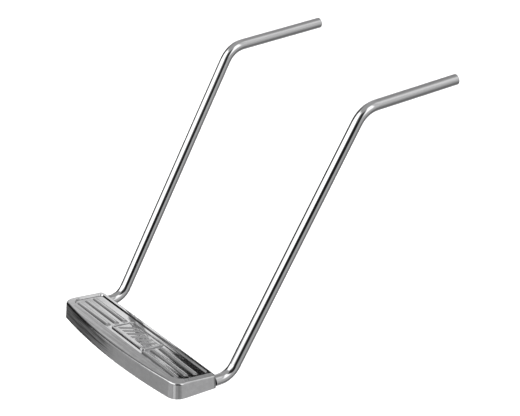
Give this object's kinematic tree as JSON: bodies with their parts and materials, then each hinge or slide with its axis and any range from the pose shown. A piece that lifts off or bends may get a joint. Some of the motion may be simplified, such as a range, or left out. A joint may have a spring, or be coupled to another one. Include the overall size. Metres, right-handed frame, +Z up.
{
  "type": "salon chair footrest",
  "caption": "Ribbed wedge-shaped cast foot plate carried by two bent round bars whose straight upper ends slide into sockets under a chair.",
  "frame": {"origin": "tip end of the right prong's cylindrical wall, on its axis", "axes": "+X from the left bar to the right bar, +Y along both prongs out of the footrest and into the chair, +Z up"},
  "size_m": [0.3277, 0.4994, 0.352],
  "materials": {
    "plate_metal": "polished",
    "badge_metal": "polished",
    "bar_metal": "polished",
    "screw_metal": "satin"
  },
  "bodies": {
    "root": {"foot_plate": "plate_metal", "badge": "badge_metal", "bar_left": "bar_metal", "bar_right": "bar_metal", "screw_left_1": "screw_metal", "screw_left_2": "screw_metal", "screw_right_1": "screw_metal", "screw_right_2": "screw_metal"}
  },
  "joints": []
}
